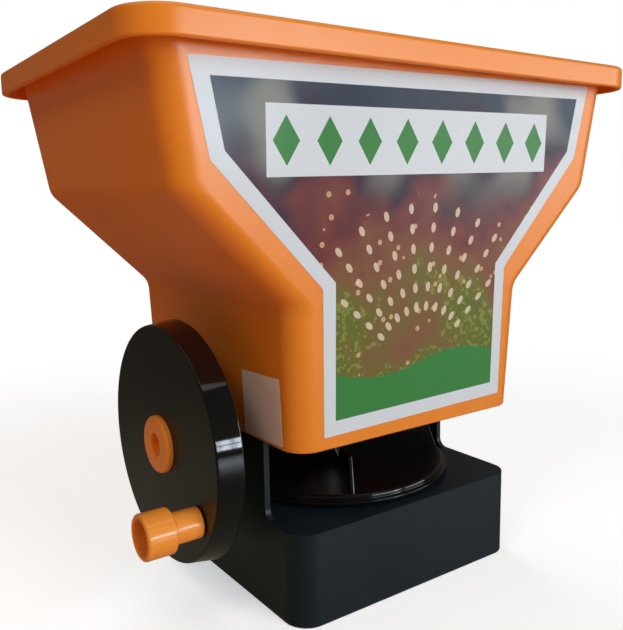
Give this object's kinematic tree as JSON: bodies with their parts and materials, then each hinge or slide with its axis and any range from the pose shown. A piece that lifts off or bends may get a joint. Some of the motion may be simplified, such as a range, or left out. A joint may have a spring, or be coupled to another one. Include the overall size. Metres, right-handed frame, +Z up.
{
  "type": "hand spreader",
  "caption": "Hand-cranked broadcast spreader with a flared hopper on a box stand, a side crank wheel that drives a vaned spinner, a sliding flow gate and a rear grip.",
  "frame": {"origin": "middle of the stand's underside", "axes": "+Z up, -Y towards the label side, crank wheel on the -X side"},
  "size_m": [0.248, 0.2036, 0.2257],
  "materials": {
    "hopper_orange": "semi-gloss moulded",
    "stand_black": "satin moulded",
    "gloss_black": "glossy moulded",
    "steel": "plain",
    "bush_nylon": "natural"
  },
  "bodies": {
    "housing": {"base_housing": "stand_black", "base_cover": "stand_black", "base_cover_screws": "steel", "shaft_lower_bush": "bush_nylon", "axle_outer_bush": "bush_nylon", "hopper": "hopper_orange", "hopper_screws": "steel", "shaft_upper_bush": "bush_nylon", "rear_handle": "hopper_orange", "handle_screws": "steel", "gear_bracket": "stand_black", "bracket_screws": "steel", "axle_inner_bush": "bush_nylon", "outlet_spout": "stand_black", "spout_screws": "steel"},
    "gate": {"flow_gate": "steel", "gate_tab": "hopper_orange", "gate_rivets": "steel"},
    "spinner": {"spinner_disc": "gloss_black", "spinner_shaft": "steel", "spinner_pin": "steel", "pinion_gear": "bush_nylon", "pinion_pin": "steel", "agitator": "steel", "shaft_clip": "steel"},
    "crank": {"crank_wheel": "gloss_black", "crank_axle": "steel", "hub_cap": "hopper_orange", "wheel_pin": "steel", "crown_gear": "bush_nylon", "crown_pin": "steel", "knob_pin": "steel"},
    "knob": {"crank_knob": "hopper_orange"}
  },
  "joints": [
    {"name": "crank_turn", "type": "hinge", "parent": "housing", "child": "crank", "pos_m": [0, -0.007, 0.0675], "axis": [1, 0, 0], "continuous": true},
    {"name": "spinner_turn", "type": "hinge", "parent": "housing", "child": "spinner", "pos_m": [0, -0.007, 0.0422], "axis": [0, 0, 1], "continuous": true},
    {"name": "knob_turn", "type": "hinge", "parent": "crank", "child": "knob", "pos_m": [-0.1, -0.03977, 0.04456], "axis": [1, 0, 0], "continuous": true},
    {"name": "gate_slide", "type": "slide", "parent": "housing", "child": "gate", "axis": [0, 1, 0], "range_m": [0, 0.024]}
  ],
  "couplings": [
    {"joint": "spinner_turn", "follows": "crank_turn", "ratio": 2}
  ]
}
